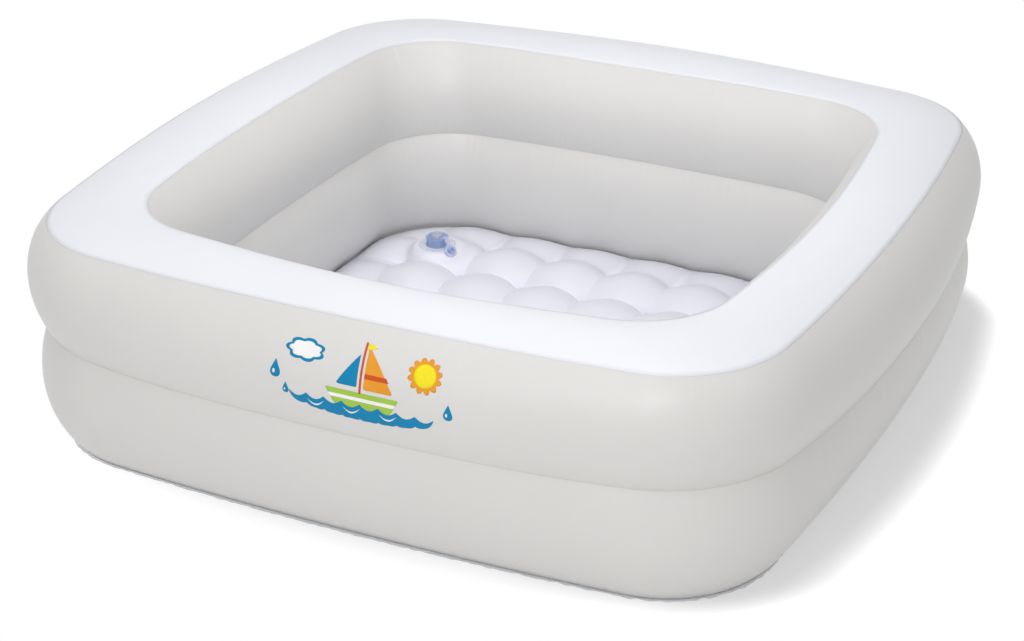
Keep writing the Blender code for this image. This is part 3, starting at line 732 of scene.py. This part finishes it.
FLANGE = [(0.0128, 0.0003, 0), (0.0220, 0.0003, 0.0001), (0.0220, 0.0008, 0.0002), (0.0204, 0.0008, 0.0002),
          (0.0200, 0.0011, 0.0002), (0.0142, 0.0011, 0.0003), (0.0138, 0.0009, 0.0002),
          (0.0128, 0.0009, 0.0002)]
FLOW_MOTTLE = 180
POLISH_GRAIN = 2600
MOULDED_BUMP = 0.00004
BLUE = (0.450, 0.570, 0.890, 1)
BLUE_BODY = 0.58
BLUE_ROUGHNESS = 0.20
CLEAR = (0.830, 0.870, 0.950, 1)
CLEAR_BODY = 0.34
CLEAR_ROUGHNESS = 0.12


def rounded(outline, steps=4):
    """A closed outline with its corners drawn round. Each corner holds two coordinates and a radius.

    A corner's curve is (1-t)(1-t) start + 2t(1-t) corner + tt end. It starts and ends a radius away
    from the corner, or at the middle of an edge that is too short for that.
    """
    corner = np.array(outline, dtype=float)[:, :2]
    radius = np.array(outline, dtype=float)[:, 2:]
    start, end = [np.roll(corner, shift, axis=0) - corner for shift in (1, -1)]
    start, end = [edge * np.minimum(radius / np.linalg.norm(edge, axis=1, keepdims=True), 0.5)
                  for edge in (start, end)]
    t = np.linspace(0, 1, steps + 1)[:, None, None]
    curve = corner + (1 - t) ** 2 * start + t ** 2 * end
    return curve.transpose(1, 0, 2).reshape(-1, 2)


def turned(outline):
    """Grid of points of a moulding turned about Z, from an outline of radius, height and rounding."""
    profile = rounded(outline)
    profile = np.concatenate([profile, profile[:1]])
    turns = np.arange(TURNED_SIDES) * math.tau / TURNED_SIDES
    radius, height = profile[:, :1], profile[:, 1:]
    return np.stack([radius * np.cos(turns), radius * np.sin(turns), height + 0 * turns], axis=-1)


def bar(outline, width):
    """Grid of points of a bar along Y from an outline of X, height and rounding, with eased ends.

    At each end the outline is drawn in by an inset over a like length, and then closes to a point.
    """
    section = rounded(outline)
    middle = section.mean(axis=0)
    ease = 1 - 2 * BAR_INSET / np.ptp(section, axis=0)
    share = np.array([0 * ease, ease, 0 * ease + 1, 0 * ease + 1, ease, 0 * ease])[:, None, :]
    places = np.array([-width, -width, 2 * BAR_INSET - width, width - 2 * BAR_INSET, width, width]) / 2
    flat = middle + (section - middle) * share
    return np.stack([flat[..., 0], places[:, None] + 0 * flat[..., 0], flat[..., 1]], axis=-1)


def knuckle():
    """Grid of points of the round bar along Y at the strap's hinge."""
    turns = np.arange(KNUCKLE_SIDES) * math.tau / KNUCKLE_SIDES
    x, height = STRAP_REACH + KNUCKLE_RADIUS * np.cos(turns), HINGE_LEVEL + KNUCKLE_RADIUS * np.sin(turns)
    return bar(np.column_stack([x, height, KNUCKLE_ROUNDING * KNUCKLE_RADIUS + 0 * turns]), STRAP_WIDTH)


def closed_mesh(name, points):
    """A closed mesh through a grid of points, its doubled points merged and its faces turned outward."""
    mesh = sheet_mesh(name, points)
    bm = bmesh.new()
    bm.from_mesh(mesh)
    bmesh.ops.remove_doubles(bm, verts=bm.verts, dist=GAP / 100)
    bmesh.ops.recalc_face_normals(bm, faces=bm.faces)
    bm.to_mesh(mesh)
    bm.free()
    return mesh


def moulding(name, grids, finish, place, body):
    """A soft moulding of grids joined together, set at its place, for the CAD node of its name."""
    made = piece(name + "_moulding", closed_mesh(name, grids[0]), finish, body, name)
    for grid in grids[1:]:
        combine(made, closed_mesh(name, grid), "UNION")
    made.data.transform(place)
    made.data.shade_smooth()
    made.data.set_sharp_from_angle(angle=FOLD_ANGLE)


def moulded(name, colour, body, roughness):
    """Soft see-through vinyl moulding: a faint flow mottle from its mould, and a fine polish grain.

    Its surface lets light through except for a share that body gives, made a little uneven by the mottle.
    """
    made, shader, place = surface(name, Transmission_Weight=0.25, IOR=1.3, Specular_IOR_Level=0.6)
    mottle = place.noise(FLOW_MOTTLE, 2.0)
    grain = place.noise(POLISH_GRAIN, 1.0)
    height = mottle * 0.7 + grain * 0.3
    feed(shader, Base_Color=mottle.clamped(0.3, 0.7).blend(shade(colour, 0.93), shade(colour, 1.06)),
         Roughness=roughness + (grain - 0.5) * 0.10, Alpha=body + (mottle - 0.5) * 0.10,
         Normal=height.bump(0.25, MOULDED_BUMP))
    return made


def valve(name, place, fold, body, cap_body, flap_body):
    """The mouldings of one valve, with its stopper folded back by an angle about the strap's hinge."""
    hinge = Matrix.Translation((STRAP_REACH, 0, HINGE_LEVEL))
    cap_place = place @ hinge @ Matrix.Rotation(fold, 4, "Y") @ hinge.inverted()
    moulding(name + "_collar", [turned(COLLAR), bar(LUG, LUG_WIDTH)], blue_moulded, place, body)
    moulding(name + "_stem", [turned(STEM)], clear_moulded, place, body)
    flap_parts = [turned(FLAP), bar(FLAP_EAR, FLAP_EAR_WIDTH)]
    moulding(name + "_flap", flap_parts, clear_moulded, place, flap_body)
    strap_parts = [turned(STRAP_RING), bar(TONGUE, STRAP_WIDTH), knuckle()]
    moulding(name + "_strap", strap_parts, clear_moulded, cap_place, cap_body)
    moulding(name + "_cap", [turned(STOPPER)], blue_moulded, cap_place, cap_body)


def ring_valve(ring_name, wall_film, panel):
    """A valve pushed into a ring's back wall, with a flange that lies along the wall's curve.

    The flange is laid round the place halfway up the wall that is nearest to the valve.
    """
    name = ring_name + "_valve"
    out = Vector(joints[name + "_slide"]["axis"]).normalized()
    place = valve_frame(joints[ring_name + "_cap_hinge"], out, STRAP_REACH, HINGE_LEVEL)
    drill(wall_film, place)
    flat = turned(FLANGE)
    places = 1 + np.linspace(0, SIDE_SHARE, WALL_PLACES)
    middle_line = panel.smooth(places, np.full(WALL_PLACES, 0.5))
    away = np.linalg.norm(middle_line - np.array(place.translation), axis=1)
    grid = panel.laid(places[away.argmin()], 0.5, flat, SHEET / 2 + flat[..., 2])
    moulding(name + "_flange", [grid], clear_moulded, Matrix(), "pool")
    valve(name, place, 0, name, ring_name + "_cap", ring_name + "_flap")


blue_moulded = moulded("blue_moulded", BLUE, BLUE_BODY, BLUE_ROUGHNESS)
clear_moulded = moulded("clear_moulded", CLEAR, CLEAR_BODY, CLEAR_ROUGHNESS)
floor_flange_place = floor_place @ Matrix.Translation((0, 0, -PUSHED_IN_HEIGHT - VALVE_TRAVEL))
moulding("floor_valve_flange", [turned(FLANGE)], clear_moulded, floor_flange_place, "pool")
valve("floor_valve", floor_place, FLOOR_CAP_FOLD, "pool", "floor_cap", "floor_flap")
ring_valve("upper", upper_outer_wall, upper_outer)
ring_valve("lower", lower_outer_wall, lower_outer)

# Print. Screen-printed inks lie on the front of the upper ring: a small sailing boat on waves under
# the sun, beside a cloud and some drops. Each ink is a thin layer that follows the film, and its places
# are in millimetres from the print's middle.

PRINT_ALONG = 3.4324
PRINT_ACROSS = 0.475
PRINT_LIFT = 0.00004
INK_LAYER = 0.00005
INK_THICK = 0.00003
PRINT_STEP = 2.2
PRINT_SIZE = 1.12
OUTLINE_STEP = 0.5
BLOB_POINTS = 96
INK_CLOUD = 60
INK_GRAIN = 1800
INK_BUMP = 0.00003
SUN = (54, 21)
CLOUD = (-52, 22)
WAVE_HALF = 64
WAVE_POINTS = 257
WAVE_PITCH = 16
WAVE_LEVEL = -13
WAVE_DEPTH = 4.0
WAVE_BODY = 12
WAVE_SWELL = 1.5
FOAM_SPANS = ((34, 66), (98, 130), (162, 194))
FOAM_DROP = 4.2
FOAM_WIDTH = 1.5
DROP = [(0, 9, 0.5), (5.4, -2, 4.5), (3, -6.4, 3.5), (-3, -6.4, 3.5), (-5.4, -2, 4.5)]
DROPS = ((-77, 1, 1.0), (-67, -13, 0.62), (76, -5, 0.85))
TEAL = (0.001, 0.225, 0.450, 1)
LIME = (0.366, 0.565, 0.074, 1)
ORANGE = (0.799, 0.323, 0.026, 1)
RUST = (0.604, 0.082, 0.016, 1)
YELLOW = (0.888, 0.753, 0.014, 1)
INK_WHITE = (0.900, 0.900, 0.900, 1)


def ink(name, colour):
    """Screen-printed ink: a little uneven in depth, with the squeegee's fine grain in its sheen."""
    made, shader, place = surface(name, Specular_IOR_Level=0.22)
    cloud = place.noise(INK_CLOUD, 3.0)
    grain = place.noise(INK_GRAIN, 1.0)
    feed(shader, Base_Color=cloud.clamped(0.3, 0.7).blend(shade(colour, 0.96), shade(colour, 1.04)),
         Roughness=0.46 + (grain - 0.5) * 0.16, Normal=grain.bump(0.3, INK_BUMP))
    return made


def printed(name, finish, first, last, layer, wrap=True):
    """A patch of ink between two lines of places, on a layer of the print, laid on the upper ring."""
    first, last = np.broadcast_arrays(np.array(first, dtype=float), np.array(last, dtype=float))
    rows = 2 + int(np.linalg.norm(last - first, axis=1).max() / PRINT_STEP)
    share = np.linspace(0, 1, rows)[:, None, None]
    flat = (first + (last - first) * share) * PRINT_SIZE / 1000
    lift = SHEET / 2 + PRINT_LIFT + layer * INK_LAYER
    points = upper_outer.laid(PRINT_ALONG, PRINT_ACROSS, flat, lift)
    made = piece("print_" + name, sheet_mesh(name, points, wrap=wrap), finish)
    thicken(made, INK_THICK)


def shape(corners):
    """A closed outline through rounded corners, with a point about every half millimetre."""
    outline = rounded(corners, 8)
    outline = np.concatenate([outline, outline[:1]])
    run = np.concatenate([[0], np.cumsum(np.linalg.norm(np.diff(outline, axis=0), axis=1))])
    places = np.linspace(0, run[-1], int(run[-1] / OUTLINE_STEP) + 1)[:-1]
    return np.column_stack([np.interp(places, run, outline[:, i]) for i in (0, 1)])


def figure(name, finish, corners, layer, move=(0, 0), size=1.0):
    """A patch of ink that fills a rounded outline, moved and scaled."""
    outline = shape(corners) * size + move
    printed(name, finish, outline.mean(axis=0), outline, layer)


def blob(name, finish, middle, radius, layer, lobes=0, depth=0.0):
    """A round patch with lobes: radius times 1 + depth |sin(lobes / 2 of the bearing)|."""
    turns = np.arange(BLOB_POINTS) * math.tau / BLOB_POINTS
    swell = 1 + depth * np.abs(np.sin(turns * lobes / 2))
    outline = np.column_stack([np.cos(turns), np.sin(turns)]) * radius * swell[:, None]
    printed(name, finish, middle, outline + middle, layer)


teal_ink = ink("teal_ink", TEAL)
lime_ink = ink("lime_ink", LIME)
orange_ink = ink("orange_ink", ORANGE)
rust_ink = ink("rust_ink", RUST)
yellow_ink = ink("yellow_ink", YELLOW)
white_ink = ink("white_ink", INK_WHITE)

figure("hull", lime_ink, [(-31, -3, 2), (34, -3, 2), (25, -20, 8), (-20, -20, 8)], 0)
figure("stripe", white_ink, [(-28.6, -7.5, 0.4), (31.5, -7.5, 0.4), (30, -10.5, 0.4), (-27, -10.5, 0.4)], 1)
figure("mast", rust_ink, [(-1, -4, 0.3), (1, -4, 0.3), (1, 38, 0.9), (-1, 38, 0.9)], 1)
figure("mainsail", orange_ink, [(3, 0, 1.5), (29, 0, 3), (16, 20, 14), (3, 35, 1.5)], 0)
figure("sail_band", rust_ink, [(3, 9, 0.3), (24.5, 9, 0.5), (22, 13, 0.5), (3, 13, 0.3)], 1)
figure("jib", teal_ink, [(-3, 1, 1.5), (-3, 28, 1.5), (-12, 16, 10), (-22, 1, 3)], 0)
figure("pennant", yellow_ink, [(1.4, 37.6, 0.3), (1.4, 31.8, 0.3), (11, 34.7, 0.6)], 2)

wave_x = np.linspace(-WAVE_HALF, WAVE_HALF, WAVE_POINTS)
wave_end = np.sqrt(np.clip(1 - (wave_x / WAVE_HALF) ** 2, 0, 1))
wave_deep = (WAVE_BODY + WAVE_SWELL * np.cos(math.tau * wave_x / WAVE_PITCH)) * wave_end
crest = np.column_stack([wave_x, WAVE_LEVEL - WAVE_DEPTH * np.abs(np.sin(math.pi * wave_x / WAVE_PITCH))])
trough = np.column_stack([wave_x, crest[:, 1] - wave_deep])
printed("waves", teal_ink, trough, crest, 2, wrap=False)
for number, (low, high) in enumerate(FOAM_SPANS):
    foam = crest[low:high] - (0, FOAM_DROP)
    taper = np.sin(np.linspace(0, math.pi, high - low))[:, None] * (0, FOAM_WIDTH)
    printed(f"foam_{number + 1}", white_ink, foam - taper, foam, 3, wrap=False)

blob("sun_rays", orange_ink, SUN, 11.5, 0, 12, 0.30)
blob("sun", yellow_ink, SUN, 9.5, 1)
blob("cloud", teal_ink, CLOUD, (15, 8), 0, 7, 0.22)
blob("cloud_light", white_ink, CLOUD, (12.4, 5.8), 1, 7, 0.22)
for number, (x, y, size) in enumerate(DROPS):
    figure(f"drop_{number + 1}", teal_ink, DROP, 0, (x, y), size)
    blob(f"drop_light_{number + 1}", white_ink, (x - 1.5 * size, y - 1.5 * size), (1.1 * size, 1.9 * size), 1)

# Studio. A pale floor that turns to plain white past a painted shadow round the pool: inside it the
# floor keeps part of its own shading, under painted light on the left and a painted grey shadow on the
# right. Large soft lamps in front, above and on the right, a smaller key lamp at the front right, a faint
# one over the basin, and a white surround. The camera stands where the photograph's stood.

CAMERA_AZIMUTH = math.radians(24.96)
CAMERA_ELEVATION = math.radians(25.31)
CAMERA_ROLL = math.radians(0.26)
CAMERA_DISTANCE = 2.444
CAMERA_TARGET = Vector((0, 0, 0.0886))
CAMERA_LENS = 81.25
SENSOR_WIDTH = 36
FARTHEST = 50
IMAGE_WIDTH, IMAGE_HEIGHT = 1024, 641
CENTRE_X, CENTRE_Y = 526.1, 290.5
GROUND_HALF = 12.0
GROUND_LEVEL = -0.0002
GROUND_PALE = (0.93, 0.93, 0.93, 1)
# A painted shadow on the ground: a bowed, rounded square shifted back and right of the pool, inside which the
# ground's own shading is kept in part, under painted light on the left and a painted grey glow on the right.
SHADOW_HALF = 0.404
SHADOW_CORNER = 0.060
SHADOW_BOW = 0.36
SHADOW_SHIFT = 0.025
SHADOW_FADE = 0.034
SHADOW_START, SHADOW_FULL = 0.10, 0.35
SHADOW_LEFT = 0.4
PAINTED_SHADOW_TINT = 0.75
PAINTED_SHADOW_GREY = (0.690, 0.690, 0.695, 1)
BACKDROP = (1, 1, 1, 1)
SURROUND_LEVEL = 0.39
LAMP_TARGET = Vector((0, 0, 0.1))

camera = bpy.data.objects.new("camera", bpy.data.cameras.new("camera"))
bpy.context.scene.collection.objects.link(camera)
bpy.context.scene.camera = camera
back = Vector((math.sin(CAMERA_AZIMUTH) * math.cos(CAMERA_ELEVATION),
               -math.cos(CAMERA_AZIMUTH) * math.cos(CAMERA_ELEVATION), math.sin(CAMERA_ELEVATION)))
facing = (-back).to_track_quat("-Z", "Y").to_matrix().to_4x4() @ Matrix.Rotation(CAMERA_ROLL, 4, "Z")
camera.matrix_world = Matrix.Translation(CAMERA_TARGET + back * CAMERA_DISTANCE) @ facing
camera.data.lens = CAMERA_LENS
camera.data.sensor_width = SENSOR_WIDTH
camera.data.shift_x = (IMAGE_WIDTH / 2 - CENTRE_X) / IMAGE_WIDTH
camera.data.shift_y = (CENTRE_Y - IMAGE_HEIGHT / 2) / IMAGE_WIDTH
camera.data.clip_end = FARTHEST

ground_mesh = bpy.data.meshes.new("ground")
ground_mesh.from_pydata([(x * GROUND_HALF, y * GROUND_HALF, GROUND_LEVEL) for x, y in
                         ((-1, -1), (1, -1), (1, 1), (-1, 1))], [], [(0, 1, 2, 3)])
ground = bpy.data.objects.new("ground", ground_mesh)
bpy.context.scene.collection.objects.link(ground)
ground_surface, ground_shader, ground_place = surface("ground", Base_Color=GROUND_PALE, Roughness=0.9,
                                                      Specular_IOR_Level=0.0)
ground_mesh.materials.append(ground_surface)


def beyond(along, across):
    """How far a place lies past the straight stretch of the painted shadow's bowed edge, on one axis.

    It is |along| + bow times across squared, less the stretch's end, or 0 inside it.
    """
    bowed = along.math("ABSOLUTE", along) + across * across * SHADOW_BOW
    return bowed.math("MAXIMUM", bowed - (SHADOW_HALF - SHADOW_CORNER), 0.0)


def backdrop_rays(tree):
    """1 for the rays that see the plain backdrop: the camera's, the mirrored and those through clear film."""
    paths = tree.nodes.new("ShaderNodeLightPath").outputs
    camera_rays, glossy_rays, clear_rays = [Wire(paths[f"Is {kind} Ray"]) for kind in
                                            ("Camera", "Glossy", "Transmission")]
    return (camera_rays + glossy_rays + clear_rays).clamped(0, 1)


ground_x, ground_y = [ground_place.node("ShaderNodeSeparateXYZ", {}, {0: ground_place}, axis) - SHADOW_SHIFT
                      for axis in (0, 1)]
past_shadow = (beyond(ground_x, ground_y) ** 2 + beyond(ground_y, ground_x) ** 2) ** 0.5 - SHADOW_CORNER
ground_rays = backdrop_rays(ground_surface.node_tree)
# Inside the painted shadow outline the ground keeps part of its own shading: on the left under painted white
# light, on the right under a painted grey shadow.
inside_painted_shadow = 1 - past_shadow.clamped(0, SHADOW_FADE)
rightward = ground_x.clamped(SHADOW_START, SHADOW_FULL)
plain = Wire(ground_shader.outputs[0])
white = plain.node("ShaderNodeEmission", {}, {"Color": BACKDROP, "Strength": 1.0})
# Painted shadow: a flat grey glow on the ground to the right of the pool.
painted_shadow_glow = plain.node("ShaderNodeEmission", {}, {"Color": PAINTED_SHADOW_GREY, "Strength": 1.0})
backdrop_and_painted_light_share = (1 - inside_painted_shadow * (SHADOW_LEFT + rightward * (1 - SHADOW_LEFT))) * ground_rays
painted_shadow_share = inside_painted_shadow * rightward * PAINTED_SHADOW_TINT * ground_rays
lit = plain.node("ShaderNodeMixShader", {}, {0: backdrop_and_painted_light_share, 1: plain, 2: white})
shaded = plain.node("ShaderNodeMixShader", {}, {0: painted_shadow_share, 1: lit, 2: painted_shadow_glow})
feed(ground_surface.node_tree.nodes["Material Output"], Surface=shaded)

world = bpy.data.worlds.new("surround")
bpy.context.scene.world = world
world.use_nodes = True
background = world.node_tree.nodes["Background"]
background.inputs["Color"].default_value = BACKDROP
feed(background, Strength=backdrop_rays(world.node_tree) * (1 - SURROUND_LEVEL) + SURROUND_LEVEL)


def lamp(name, place, size, power):
    """A square soft lamp, of a size in metres and a power in watts, that faces the pool."""
    light = bpy.data.lights.new(name, "AREA")
    light.size = size
    light.energy = power
    made = bpy.data.objects.new(name, light)
    bpy.context.scene.collection.objects.link(made)
    made.visible_camera = False
    aim = (LAMP_TARGET - Vector(place)).to_track_quat("-Z", "Y").to_matrix().to_4x4()
    made.matrix_world = Matrix.Translation(place) @ aim


lamp("front", (0.15, -2.56, 1.46), 1.6, 13)
lamp("key", (0.90, -2.50, 1.55), 0.45, 10.5)
lamp("high", (-0.11, -1.30, 2.35), 1.4, 8)
lamp("overhead", (0, 0, 1.90), 1.2, 8.8)
lamp("right", (2.21, -0.59, 1.71), 1.6, 4.5)
lamp("basin", (0.02, -0.05, 0.50), 0.35, 0.35)

bpy.context.scene.view_settings.view_transform = "Standard"
